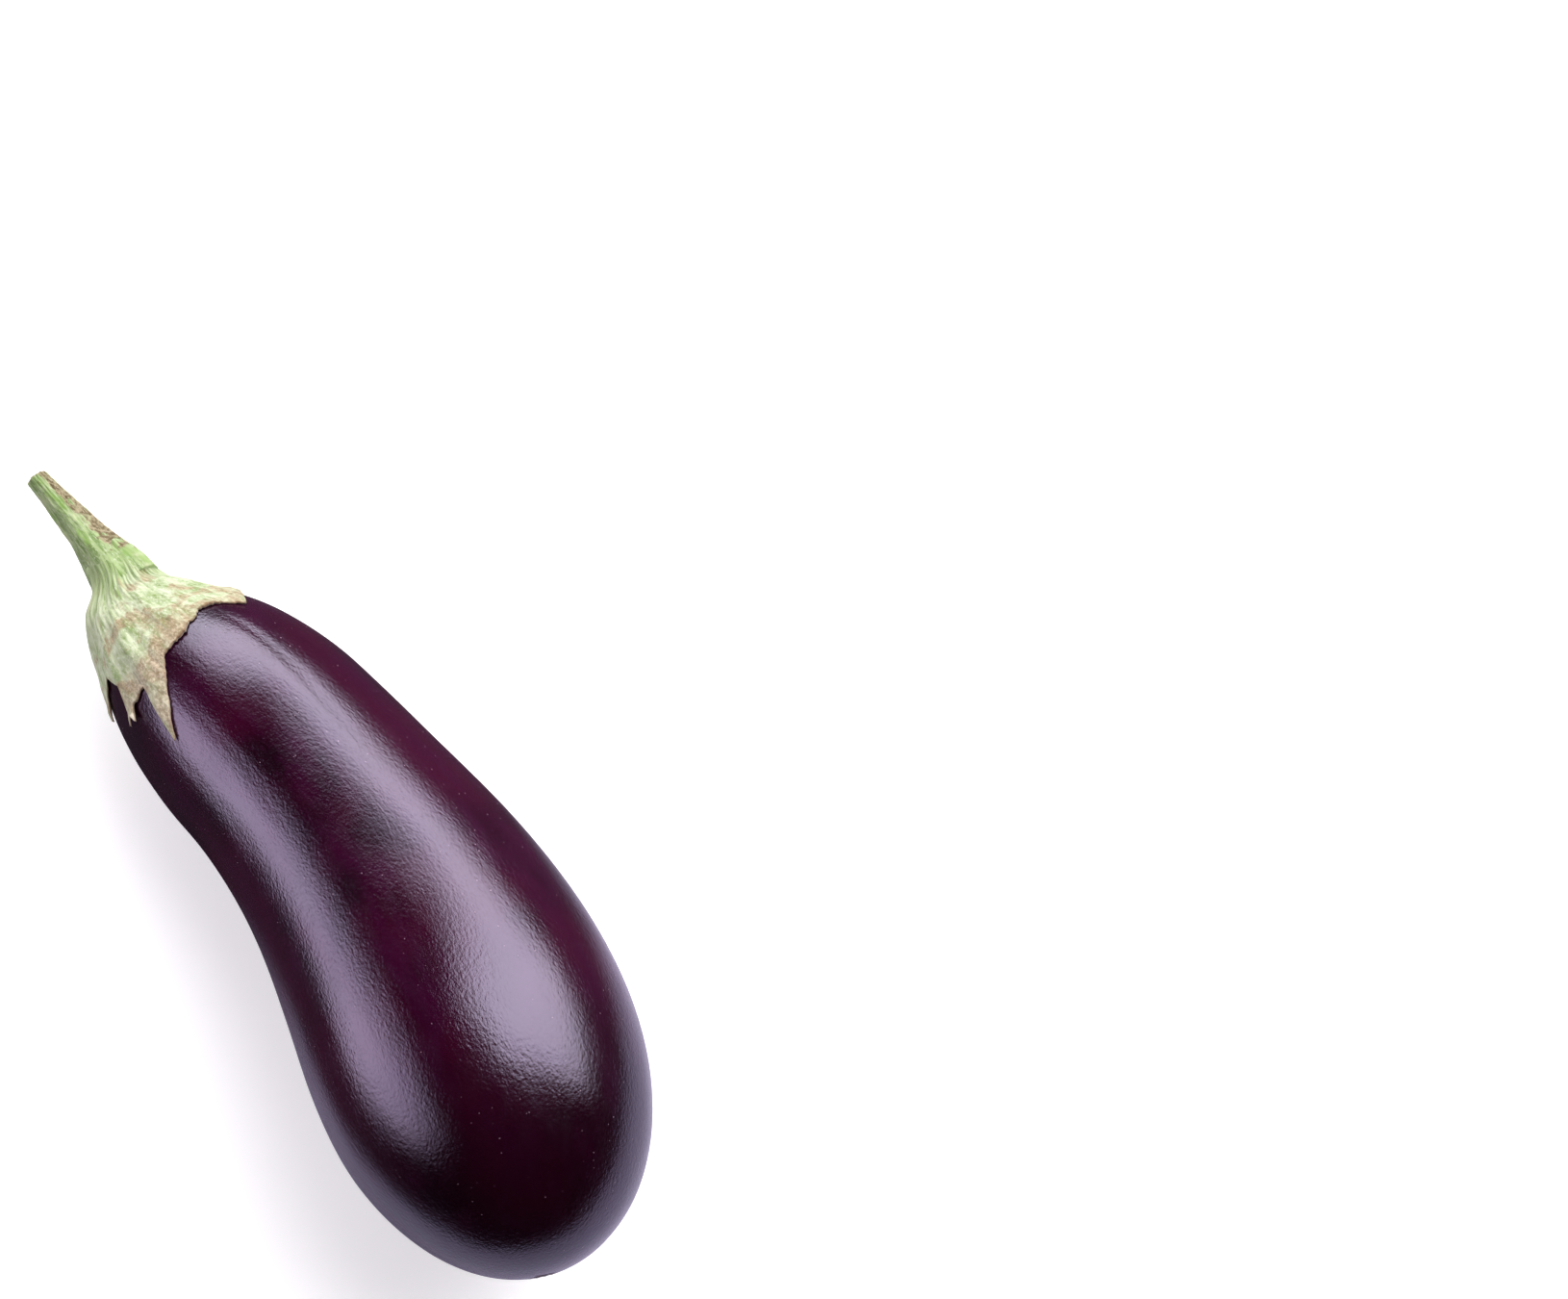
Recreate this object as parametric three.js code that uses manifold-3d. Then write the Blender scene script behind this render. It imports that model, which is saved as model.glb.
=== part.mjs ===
import * as THREE from 'three';
import { LoftGeometry } from 'three/addons/geometries/LoftGeometry.js';
import { mergeVertices } from 'three/addons/utils/BufferGeometryUtils.js';
import Module from 'manifold-3d';

// An eggplant as picked: a curved glossy fruit lying on its side, the green calyx that caps its
// neck, and the cut stem. Millimetres, +Z up. The stem points along -X, the fruit bows towards +Y,
// and the origin is the middle of the small flat under the belly that the fruit rests on.
//
// The fruit, the calyx and the stem share one centreline. A station is a distance along it from
// the fruit's stem end, and negative stations lie on its straight continuation into the stem. A
// turn is an angle round it: 0 is up and 90 degrees is the hollow side of the bow (-Y). A reach is
// a distance measured along the skin from the stem end.

const { degToRad, lerp, smootherstep, smoothstep } = THREE.MathUtils;

// Centreline of the fruit
const FRUIT_LENGTH = 199.8;        // straight, from end to end
const STEM_END_HEADING = -0.5;     // degrees that it leaves the stem end towards +Y
const BLOSSOM_END_HEADING = 20.5;  // degrees that it comes back in at the blossom end
const STEM_END_HANDLE = 26;        // Bezier handle: a longer one keeps the neck straighter
const BLOSSOM_END_HANDLE = 115;    // Bezier handle: a longer one keeps the belly straighter

// Skin
const NECK_RADIUS = 29.2;
const BELLY_RADIUS = 44;           // before the blossom end rounds it off
const SWELL_START = 32;            // the neck starts to widen this far from the stem end
const SWELL_END = 9.3;             // the widening ends this far from the blossom end
const STEM_END_ROUNDING = 54;      // length over which the stem end rounds over
const STEM_END_POWER = 1.83;       // a higher one makes the stem end blunter
const BLOSSOM_END_ROUNDING = 100;  // length over which the blossom end rounds over
const BLOSSOM_END_POWER = 3;
const OUT_OF_ROUND = 0.006;        // soft three-sidedness of the section, as a share of its radius
const OUT_OF_ROUND_TURN = 40;      // degrees to its first rise
const SCAR_RADIUS = 3.4;           // dimple left by the flower
const SCAR_DEPTH = 1.3;
const SCAR_NUB_RADIUS = 0.8;       // dried-up point in the middle of the dimple
const SCAR_NUB_HEIGHT = 0.6;

// Calyx
const SEAT_GAP = 0.4;              // between the skin and the calyx, and the calyx and the stem
const CROWN_HEIGHT = 5;            // top of the calyx above the stem end of the fruit
const CROWN_OFFSET = 2.7;          // the stem grows this far off the centreline, towards +Y
const CROWN_THICKNESS = 3.8;
const EDGE_THICKNESS = 1.3;
const LOBE_LIFT = 0.9;             // how far the longest lobe's dry tip stands off the skin
const LIFT_START = 36;             // reach at which the lobes start to stand off
const LIFT_LENGTH = 20;            // reach over which they do

// The calyx's edge, once round: root is the turn at the crown that a point grows from, turn and
// reach are where it ends on the skin. The pointed lobes alternate with the notches between them.
const CALYX_EDGE = [
	{ root: -90, turn: -90, reach: 31 },
	{ root: -68, turn: -64, reach: 41 },      // lobe over the bowed side
	{ root: -51, turn: -51, reach: 36.5 },
	{ root: -40, turn: -40, reach: 35.4 },
	{ root: -21, turn: -21, reach: 38.5 },
	{ root: -4, turn: -4, reach: 39.2 },
	{ root: 6, turn: 22.5, reach: 57.8 },     // longest lobe, on top of the neck
	{ root: 15, turn: 15.5, reach: 40.2 },
	{ root: 25, turn: 37, reach: 42.5 },      // torn lobe beside it
	{ root: 31, turn: 30, reach: 33.5 },
	{ root: 40, turn: 41, reach: 26 },
	{ root: 64, turn: 66, reach: 33 },        // lobe over the hollow side
	{ root: 82, turn: 82, reach: 26 },
	{ root: 112, turn: 114, reach: 36 },      // lobes underneath
	{ root: 134, turn: 134, reach: 27 },
	{ root: 160, turn: 157, reach: 35 },
	{ root: 184, turn: 184, reach: 28 },
	{ root: 214, turn: 217, reach: 38 },
	{ root: 242, turn: 242, reach: 29 },
];

// Stem
const STEM_LENGTH = 37;
const STEM_HEADING = 8;            // degrees that it leans off the X axis
const STEM_BASE_DIAMETER = 17;
const STEM_MIDDLE_DIAMETER = 10;
const STEM_TIP_DIAMETER = 5.6;
const STEM_RISE = 3;               // how far the cut end is bent upwards
const STEM_RIDGES = 5;
const STEM_RIDGE_HEIGHT = 0.045;   // as a share of the radius

// How the fruit lies
const LIE_ROLL = 13;               // degrees that the hollow side rolls down
const REST_FLAT_DEPTH = 0.4;       // how far the skin is pressed flat under the belly
const NECK_CLEARANCE = 0.3;        // the neck and the calyx stay this far above the surface

// Fineness of the meshes
const FRUIT_SIDES = 54;
const FRUIT_ROWS = 38;
const CALYX_ROWS = 9;
const CALYX_STEP_REACH = 4;
const CALYX_STEP_TURN = 8;
const STEM_SIDES = 30;
const STEM_ROWS = 10;

const wasm = await Module();
wasm.setup();

const UP = new THREE.Vector3(0, 0, 1);
const centreline = new THREE.CubicBezierCurve3(
	new THREE.Vector3(-FRUIT_LENGTH / 2, 0, 0),
	new THREE.Vector3(STEM_END_HANDLE * Math.cos(degToRad(STEM_END_HEADING)) - FRUIT_LENGTH / 2,
		STEM_END_HANDLE * Math.sin(degToRad(STEM_END_HEADING)), 0),
	new THREE.Vector3(FRUIT_LENGTH / 2 - BLOSSOM_END_HANDLE * Math.cos(degToRad(BLOSSOM_END_HEADING)),
		BLOSSOM_END_HANDLE * Math.sin(degToRad(BLOSSOM_END_HEADING)), 0),
	new THREE.Vector3(FRUIT_LENGTH / 2, 0, 0));
centreline.arcLengthDivisions = 1000;
const centrelineLength = centreline.getLength();

/** A point at a station, `radius` away from the centreline at a turn in degrees. */
function pointAround(station, radius, turn) {
	const along = Math.min(Math.max(station / centrelineLength, 0), 1);
	const forward = centreline.getTangentAt(along);
	const beyond = Math.min(station, 0) + Math.max(station - centrelineLength, 0);
	const aside = new THREE.Vector3().crossVectors(forward, UP);
	return centreline.getPointAt(along)
		.addScaledVector(forward, beyond)
		.addScaledVector(UP, radius * Math.cos(degToRad(turn)))
		.addScaledVector(aside, radius * Math.sin(degToRad(turn)));
}

/** Distance from the centreline to the skin, with both ends rounded over. */
function skinRadius(station, turn) {
	const swell = smootherstep(station, SWELL_START, centrelineLength - SWELL_END);
	const width = lerp(NECK_RADIUS, BELLY_RADIUS, swell);
	const toStem = Math.max(1 - station / STEM_END_ROUNDING, 0);
	const toBlossom = Math.max(1 - (centrelineLength - station) / BLOSSOM_END_ROUNDING, 0);
	const rounding = Math.sqrt((1 - toStem ** STEM_END_POWER) * (1 - toBlossom ** BLOSSOM_END_POWER));
	const outOfRound = 1 + OUT_OF_ROUND * Math.cos(3 * degToRad(turn - OUT_OF_ROUND_TURN));
	return width * rounding * outOfRound;
}

/** The station of the skin that lies `reach` away from the stem end at a turn. */
function stationAtReach(reach, turn) {
	const rootStep = 0.02; // stations grow as squares, because the stem end is blunt
	let root = 0;
	let travelled = 0;
	for (;;) {
		const here = root ** 2;
		const next = (root + rootStep) ** 2;
		const stride = Math.hypot(next - here, skinRadius(next, turn) - skinRadius(here, turn));
		if (travelled + stride >= reach) return lerp(here, next, (reach - travelled) / stride);
		travelled += stride;
		root += rootStep;
	}
}

/** A point `lift` above the skin, square to it. */
function pointOnSkin(reach, turn, lift) {
	const station = stationAtReach(reach, turn);
	const step = 0.01;
	const slope = Math.atan((skinRadius(station + step, turn) - skinRadius(station, turn)) / step);
	const radius = skinRadius(station, turn) + lift * Math.cos(slope);
	return pointAround(station - lift * Math.sin(slope), radius, turn);
}

/** The solid inside a closed geometry. */
function toSolid(geometry) {
	const bare = new THREE.BufferGeometry();
	bare.setIndex(geometry.index);
	bare.setAttribute('position', geometry.attributes.position);
	const { index, attributes } = mergeVertices(bare, 1e-3);
	const triangles = [];
	for (let i = 0; i < index.count; i += 3) {
		const corners = [index.getX(i), index.getX(i + 1), index.getX(i + 2)];
		if (new Set(corners).size === 3) triangles.push(...corners);
	}
	return new wasm.Manifold(new wasm.Mesh({
		numProp: 3, vertProperties: attributes.position.array, triVerts: Uint32Array.from(triangles),
	}));
}

/** A closed solid through rings of points. An end that isn't capped has shrunk to a point. */
function loftSolid(rings, caps = { capStart: true, capEnd: true }) {
	return toSolid(new LoftGeometry(rings, caps));
}

function toGeometry(solid) {
	const { vertProperties, triVerts } = solid.getMesh();
	const geometry = new THREE.BufferGeometry();
	geometry.setAttribute('position', new THREE.BufferAttribute(vertProperties, 3));
	geometry.setIndex(new THREE.BufferAttribute(triVerts, 1));
	geometry.computeVertexNormals();
	return geometry;
}

function makeFruit() {
	const turns = Array.from({ length: FRUIT_SIDES }, (_, j) => 360 * j / FRUIT_SIDES);
	const rings = [];
	for (let i = 1; i < FRUIT_ROWS; i++) {
		const station = centrelineLength * (1 - Math.cos(Math.PI * i / FRUIT_ROWS)) / 2;
		if (station > centrelineLength / 2 && skinRadius(station, 0) < SCAR_RADIUS * 1.3) break;
		rings.push(turns.map((turn) => pointAround(station, skinRadius(station, turn), turn)));
	}
	// near the blossom end the skin is a paraboloid, and the scar sinks into it
	const bluntness = BLOSSOM_END_ROUNDING / (BLOSSOM_END_POWER * BELLY_RADIUS ** 2);
	for (const share of [1, 0.8, 0.6, 0.4]) {
		const radius = SCAR_RADIUS * share;
		const sunk = SCAR_DEPTH * (1 - share ** 2) ** 2;
		const station = centrelineLength - bluntness * radius ** 2 - sunk;
		rings.push(turns.map((turn) => pointAround(station, radius, turn)));
	}
	const nub = centrelineLength - SCAR_DEPTH + SCAR_NUB_HEIGHT;
	rings.push(turns.map((turn) => pointAround(nub, SCAR_NUB_RADIUS, turn)));
	return loftSolid(rings);
}

/** The calyx's edge as closely spaced { root, turn, reach }, once round. */
function calyxColumns() {
	const columns = [];
	CALYX_EDGE.forEach((from, i) => {
		const last = i === CALYX_EDGE.length - 1;
		const to = last ? { ...CALYX_EDGE[0] } : CALYX_EDGE[i + 1];
		if (last) {
			to.root += 360;
			to.turn += 360;
		}
		const steps = Math.ceil(Math.max(Math.abs(to.reach - from.reach) / CALYX_STEP_REACH,
			(to.root - from.root) / CALYX_STEP_TURN));
		for (let k = 0; k < steps; k++) {
			const share = k / steps;
			columns.push({
				root: lerp(from.root, to.root, share),
				turn: lerp(from.turn, to.turn, share),
				reach: lerp(from.reach, to.reach, share),
			});
		}
	});
	return columns;
}

function makeCalyx() {
	const columns = calyxColumns();
	const outerStart = STEM_BASE_DIAMETER / 2;
	const ring = (start, share, liftAt) => columns.map(({ root, turn, reach }) => {
		const here = lerp(start, reach, share);
		const stand = LOBE_LIFT * smoothstep(here, LIFT_START, LIFT_START + LIFT_LENGTH);
		return pointOnSkin(here, lerp(root, turn, share ** 2), SEAT_GAP + stand + liftAt(share));
	});
	const thickness = (share) => lerp(EDGE_THICKNESS, CROWN_THICKNESS, (1 - share) ** 3);
	const rings = [];
	for (let i = 1; i <= CALYX_ROWS; i++) {
		rings.push(ring(outerStart, (i / CALYX_ROWS) ** 1.3, thickness));
	}
	// the crown is the outline of the stem's foot
	rings.unshift(columns.map(({ root }) => pointOnStem(0, 0, root)));
	for (let i = CALYX_ROWS; i > 0; i--) {
		rings.push(ring(0, i / CALYX_ROWS, () => 0));
	}
	rings.push(columns.map(() => pointAround(-SEAT_GAP, 0, 0)));
	return loftSolid(rings, { capStart: true, capEnd: false });
}

/** Radius of the stem a share of the way from its foot to its cut end. */
function stemRadius(share, turn) {
	const flare = lerp(STEM_BASE_DIAMETER, STEM_MIDDLE_DIAMETER, smoothstep(share, -0.1, 0.55));
	const taper = (STEM_MIDDLE_DIAMETER - STEM_TIP_DIAMETER) * Math.max(share - 0.4, 0) / 0.6;
	const ridge = STEM_RIDGE_HEIGHT * (1 - share / 2) * Math.cos(STEM_RIDGES * degToRad(turn));
	return (flare - taper) / 2 * (1 + ridge);
}

/** A point on the stem's side, `along` its length from the crown. */
function pointOnStem(along, share, turn) {
	const outwards = new THREE.Vector3(-1, 0, 0).applyAxisAngle(UP, degToRad(STEM_HEADING));
	const aside = new THREE.Vector3().crossVectors(UP, outwards);
	const radius = stemRadius(share, turn);
	return pointAround(-CROWN_HEIGHT, 0, 0)
		.add(new THREE.Vector3(0, CROWN_OFFSET, STEM_RISE * share ** 2))
		.addScaledVector(outwards, along)
		.addScaledVector(UP, radius * Math.cos(degToRad(turn)))
		.addScaledVector(aside, radius * Math.sin(degToRad(turn)));
}

function makeStem() {
	const turns = Array.from({ length: STEM_SIDES }, (_, j) => 360 * j / STEM_SIDES);
	const rings = [];
	for (let i = STEM_ROWS; i >= 0; i--) {
		const share = i / STEM_ROWS;
		rings.push(turns.map((turn) => pointOnStem(SEAT_GAP + share * STEM_LENGTH, share, turn)));
	}
	return loftSolid(rings);
}

/** The fruit's attitude when its stem end is tipped down by some degrees. */
function attitude(tilt) {
	return new THREE.Euler(degToRad(LIE_ROLL), -degToRad(tilt), 0);
}

/** Lowest height that a solid reaches in an attitude, over the points that `keep` picks. */
function lowest(solid, euler, keep = () => true) {
	const { vertProperties } = solid.getMesh();
	const point = new THREE.Vector3();
	let low = Infinity;
	for (let i = 0; i < vertProperties.length; i += 3) {
		point.fromArray(vertProperties, i);
		if (keep(point)) low = Math.min(low, point.applyEuler(euler).z);
	}
	return low;
}

/** Tips the fruit until it lies on its belly with its neck or its calyx just off the surface. */
function settle(fruit, calyx) {
	let level = -20;
	let steep = 40;
	for (let i = 0; i < 30; i++) {
		const tilt = (level + steep) / 2;
		const euler = attitude(tilt);
		const belly = lowest(fruit, euler, (point) => point.x > 0) + REST_FLAT_DEPTH;
		const neck = Math.min(lowest(fruit, euler, (point) => point.x < 0), lowest(calyx, euler));
		if (neck - belly > NECK_CLEARANCE) level = tilt;
		else steep = tilt;
	}
	return attitude(level);
}

/** Presses the flat that the fruit rests on: cuts off what is below `floor` in its attitude. */
function pressFlat(fruit, euler, floor) {
	const block = new THREE.BoxGeometry(2 * FRUIT_LENGTH, 2 * FRUIT_LENGTH, FRUIT_LENGTH);
	block.translate(0, 0, floor - FRUIT_LENGTH / 2);
	block.applyMatrix4(new THREE.Matrix4().makeRotationFromEuler(euler).invert());
	return fruit.subtract(toSolid(block));
}

/** Middle of the flat, in the fruit's attitude. */
function flatMiddle(fruit, euler, floor) {
	const { vertProperties } = fruit.getMesh();
	const flat = new THREE.Box3();
	for (let i = 0; i < vertProperties.length; i += 3) {
		const point = new THREE.Vector3().fromArray(vertProperties, i).applyEuler(euler);
		if (point.z < floor + 0.001) flat.expandByPoint(point);
	}
	return flat.getCenter(new THREE.Vector3()).setZ(floor);
}

const skin = new THREE.MeshStandardMaterial({ color: 0x2a0a1c, roughness: 0.18, metalness: 0 });
const woolly = new THREE.MeshStandardMaterial({ color: 0xb9bf8a, roughness: 0.85, metalness: 0 });
const green = new THREE.MeshStandardMaterial({ color: 0x93a85c, roughness: 0.75, metalness: 0 });

const roundFruit = makeFruit();
const calyx = makeCalyx();
const rest = settle(roundFruit, calyx);
const floor = lowest(roundFruit, rest) + REST_FLAT_DEPTH;
const fruit = pressFlat(roundFruit, rest, floor);

const lying = new THREE.Group();
lying.rotation.copy(rest);
lying.position.copy(flatMiddle(fruit, rest, floor)).negate();
for (const [name, solid, material] of [
	['fruit', fruit, skin],
	['calyx', calyx, woolly],
	['stem', makeStem(), green],
]) {
	const mesh = new THREE.Mesh(toGeometry(solid), material);
	mesh.name = name;
	lying.add(mesh);
}

const eggplant = new THREE.Group();
eggplant.name = 'eggplant';
eggplant.add(lying);

export default eggplant;
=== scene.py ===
"""An eggplant as picked, lying on its side: glossy skin, woolly calyx and cut stem.

The shapes are made in millimetres in the fruit's own frame, where the centreline starts along +X,
+Z is up and the bow is towards +Y. They are then laid down and placed by the CAD fruit's box.

A station is a distance along the centreline, a turn is an angle round it in degrees from straight
up, and a reach is a distance along the skin. Stations and reaches start at the stem end.
"""
import math

import bmesh
import bpy
import numpy as np
from mathutils import Matrix, Vector


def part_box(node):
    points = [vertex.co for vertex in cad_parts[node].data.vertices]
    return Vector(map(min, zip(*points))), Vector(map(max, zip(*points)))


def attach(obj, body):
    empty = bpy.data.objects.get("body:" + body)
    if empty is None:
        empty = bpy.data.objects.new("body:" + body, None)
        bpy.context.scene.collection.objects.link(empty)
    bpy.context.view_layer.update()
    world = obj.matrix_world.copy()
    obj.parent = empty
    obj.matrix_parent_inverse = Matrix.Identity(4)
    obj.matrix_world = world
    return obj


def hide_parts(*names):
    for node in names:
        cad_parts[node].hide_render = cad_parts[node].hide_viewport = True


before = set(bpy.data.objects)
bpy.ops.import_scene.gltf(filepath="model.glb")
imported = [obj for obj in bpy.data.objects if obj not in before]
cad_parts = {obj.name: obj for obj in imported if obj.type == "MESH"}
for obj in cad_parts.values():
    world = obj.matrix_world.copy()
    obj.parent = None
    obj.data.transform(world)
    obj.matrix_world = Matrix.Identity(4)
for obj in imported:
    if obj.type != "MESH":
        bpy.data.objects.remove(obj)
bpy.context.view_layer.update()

MM = 0.001
UP = np.array([0.0, 0.0, 1.0])

# ---------------------------------------------------------------- camera

CAMERA_AZIMUTH, CAMERA_ELEVATION = 55.98, 78.0   # degrees
CAMERA_DISTANCE, CAMERA_LENS = 0.935, 85.0       # metres, millimetres
CAMERA_AIM = Vector((-0.03635, 0.11879, 0.01531))


def outward(azimuth, elevation):
    """Unit vector from the object towards a viewer, with azimuth 0 at -Y and 90 at +X."""
    a, e = math.radians(azimuth), math.radians(elevation)
    return Vector((math.sin(a) * math.cos(e), -math.cos(a) * math.cos(e), math.sin(e)))


camera = bpy.data.objects.new("camera", bpy.data.cameras.new("camera"))
bpy.context.scene.collection.objects.link(camera)
bpy.context.scene.camera = camera
camera.data.lens = CAMERA_LENS
camera.data.sensor_width = 36.0
camera.data.clip_start = 0.01
back = outward(CAMERA_AZIMUTH, CAMERA_ELEVATION)
camera.location = CAMERA_AIM + back * CAMERA_DISTANCE
camera.rotation_mode = "QUATERNION"
camera.rotation_quaternion = (-back).to_track_quat("-Z", "Y")

# ---------------------------------------------------------------- shape, as in the CAD

FRUIT_LENGTH = 199.8
STEM_END_HEADING, BLOSSOM_END_HEADING = -0.5, 20.5
STEM_END_HANDLE, BLOSSOM_END_HANDLE = 26, 115
NECK_RADIUS, BELLY_RADIUS = 29.2, 44
SWELL_START, SWELL_END = 32, 9.3
STEM_END_ROUNDING, STEM_END_POWER = 54, 1.83
BLOSSOM_END_ROUNDING, BLOSSOM_END_POWER = 100, 3
OUT_OF_ROUND, OUT_OF_ROUND_TURN = 0.006, 40
SCAR_RADIUS, SCAR_DEPTH = 3.4, 1.3
SCAR_NUB_RADIUS, SCAR_NUB_HEIGHT = 0.8, 0.6
CROWN_HEIGHT, CROWN_OFFSET, CROWN_THICKNESS = 5, 2.7, 3.8
LOBE_LIFT, LIFT_START, LIFT_LENGTH = 0.9, 36, 20
STEM_LENGTH, STEM_HEADING, STEM_RISE = 37, 8, 3
STEM_BASE_DIAMETER, STEM_MIDDLE_DIAMETER, STEM_TIP_DIAMETER = 17, 10, 5.6
STEM_RIDGES, STEM_RIDGE_HEIGHT = 5, 0.045
LIE_ROLL, LIE_TILT = 13, 5.9316  # degrees: the hollow side rolls down, the stem end tips down
CURVE_SAMPLES = 4001


def lerp(a, b, share):
    return a + (b - a) * share


def smooth(x, low, high):
    """0 below low, 1 above high, eased in between."""
    t = np.clip((x - low) / (high - low), 0, 1)
    return t * t * (3 - 2 * t)


def smoother(x, low, high):
    """The same, but eased more gently at both ends."""
    t = np.clip((x - low) / (high - low), 0, 1)
    return t ** 3 * (t * (6 * t - 15) + 10)


def bump_at(x, centre, width):
    """A soft hump of height 1."""
    return np.exp(-((x - centre) / width) ** 2)


def rounded_off(from_edge, radius):
    """1 inside, falling to 0 at an edge along a quarter circle."""
    return np.sqrt(1 - np.clip(1 - from_edge / radius, 0, 1) ** 2)


def waves(place, count, shortest, longest, seed):
    """Smooth random relief of about -1 to 1 with those wavelengths, at (..., 3) places."""
    rng = np.random.default_rng(seed)
    total = np.zeros(place.shape[:-1])
    for _ in range(count):
        way = rng.normal(size=3)
        way *= 2 * math.pi / (np.linalg.norm(way) * rng.uniform(shortest, longest))
        total += np.sin(place @ way + rng.uniform(0, 2 * math.pi))
    return total / math.sqrt(count)


def relief(place, height, stretch, *spectrum):
    """Waves of that height. A stretch below 1 draws them out along the piece."""
    return height * waves(place * [stretch, 1, 1], *spectrum)


def straightened(station, radius, turn):
    """Places as if the fruit were straight: along, up and aside."""
    angle = np.radians(turn)
    up, aside = radius * np.cos(angle), radius * np.sin(angle)
    return np.stack(np.broadcast_arrays(station, up, aside), -1)


def cubic(points, t):
    """A point on a cubic Bezier curve."""
    return (points[0] * (1 - t) ** 3 + points[1] * 3 * t * (1 - t) ** 2
            + points[2] * 3 * t ** 2 * (1 - t) + points[3] * t ** 3)


def centreline():
    """The centreline's four Bezier points."""
    f0, f1 = math.radians(STEM_END_HEADING), math.radians(BLOSSOM_END_HEADING)
    return np.array([
        [-FRUIT_LENGTH / 2, 0, 0],
        [STEM_END_HANDLE * math.cos(f0) - FRUIT_LENGTH / 2, STEM_END_HANDLE * math.sin(f0), 0],
        [FRUIT_LENGTH / 2 - BLOSSOM_END_HANDLE * math.cos(f1),
         BLOSSOM_END_HANDLE * math.sin(f1), 0],
        [FRUIT_LENGTH / 2, 0, 0],
    ])


CONTROL = centreline()
CURVE_SHARES = np.linspace(0, 1, CURVE_SAMPLES)[:, None]
CURVE_STATIONS = np.concatenate([[0], np.cumsum(
    np.linalg.norm(np.diff(cubic(CONTROL, CURVE_SHARES), axis=0), axis=1))])
CENTRE_LENGTH = CURVE_STATIONS[-1]


def point_around(station, radius, turn):
    """Points a radius away from the centreline."""
    station, radius, turn = np.broadcast_arrays(
        np.asarray(station, float), np.asarray(radius, float), np.radians(turn))
    t = np.interp(np.clip(station, 0, CENTRE_LENGTH), CURVE_STATIONS, CURVE_SHARES[:, 0])[..., None]
    ahead = ((CONTROL[1] - CONTROL[0]) * (1 - t) ** 2 + (CONTROL[2] - CONTROL[1]) * 2 * t * (1 - t)
             + (CONTROL[3] - CONTROL[2]) * t ** 2)
    ahead /= np.linalg.norm(ahead, axis=-1, keepdims=True)
    beyond = np.minimum(station, 0) + np.maximum(station - CENTRE_LENGTH, 0)
    aside = np.cross(ahead, UP)
    return (cubic(CONTROL, t) + ahead * beyond[..., None] + UP * (radius * np.cos(turn))[..., None]
            + aside * (radius * np.sin(turn))[..., None])


def skin_radius(station, turn):
    width = lerp(NECK_RADIUS, BELLY_RADIUS,
                 smoother(station, SWELL_START, CENTRE_LENGTH - SWELL_END))
    to_stem = np.maximum(1 - station / STEM_END_ROUNDING, 0)
    to_blossom = np.maximum(1 - (CENTRE_LENGTH - station) / BLOSSOM_END_ROUNDING, 0)
    rounding = (1 - to_stem ** STEM_END_POWER) * (1 - to_blossom ** BLOSSOM_END_POWER)
    out_of_round = 1 + OUT_OF_ROUND * np.cos(3 * np.radians(turn - OUT_OF_ROUND_TURN))
    return width * np.sqrt(np.maximum(rounding, 0)) * out_of_round


# how reach grows with station, measured at a turn of mean radius. The samples stand closer at the
# blunt end and go well past the longest lobe.
LAST_STATION = 121
MEAN_TURN = OUT_OF_ROUND_TURN + 30
SKIN_STATIONS = np.linspace(0, math.sqrt(LAST_STATION), CURVE_SAMPLES) ** 2
SKIN_REACHES = np.concatenate([[0], np.cumsum(np.hypot(
    np.diff(SKIN_STATIONS), np.diff(skin_radius(SKIN_STATIONS, MEAN_TURN))))])


def point_on_skin(reach, turn, lift):
    """Points a lift above the skin."""
    station = np.maximum(np.interp(reach, SKIN_REACHES, SKIN_STATIONS), 1e-3)
    step = 0.01
    slope = np.arctan((skin_radius(station + step, turn) - skin_radius(station, turn)) / step)
    return point_around(station - lift * np.sin(slope),
                        skin_radius(station, turn) + lift * np.cos(slope), turn)


HEADING = math.radians(STEM_HEADING)
STEM_WAY = np.array([-math.cos(HEADING), -math.sin(HEADING), 0])
STEM_ASIDE = np.cross(UP, STEM_WAY)


def stem_radius(share, turn):
    flare = lerp(STEM_BASE_DIAMETER, STEM_MIDDLE_DIAMETER, smooth(share, -0.1, 0.55))
    taper = (STEM_MIDDLE_DIAMETER - STEM_TIP_DIAMETER) * np.maximum(share - 0.4, 0) / 0.6
    ridge = STEM_RIDGE_HEIGHT * (1 - share / 2) * np.cos(STEM_RIDGES * np.radians(turn))
    return (flare - taper) / 2 * (1 + ridge)


def point_on_stem(along, turn, swell=0.0, narrow=1.0):
    """Points on the stem's side, along its length from the crown, swollen by some millimetres."""
    along, turn = np.broadcast_arrays(np.asarray(along, float), np.asarray(turn, float))
    share = np.clip(along / STEM_LENGTH, 0, 1)
    radius = (stem_radius(share, turn) + swell) * narrow
    foot = point_around(-CROWN_HEIGHT, 0, 0) + np.array([0, CROWN_OFFSET, 0])
    angle = np.radians(turn)
    return (foot + UP * (STEM_RISE * share ** 2 + radius * np.cos(angle))[..., None]
            + STEM_WAY * along[..., None] + STEM_ASIDE * (radius * np.sin(angle))[..., None])


def stem_axis(along):
    return point_on_stem(along, 0, 0, 0.0)


# ---------------------------------------------------------------- meshes


def grid_normals(rings):
    """Unit normals of (rows, columns, 3) rings that run round a closed form."""
    across = np.roll(rings, -1, 1) - np.roll(rings, 1, 1)
    along = np.gradient(rings, axis=0)
    normals = np.cross(across, along)
    normals /= np.maximum(np.linalg.norm(normals, axis=-1, keepdims=True), 1e-9)
    return normals


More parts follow.
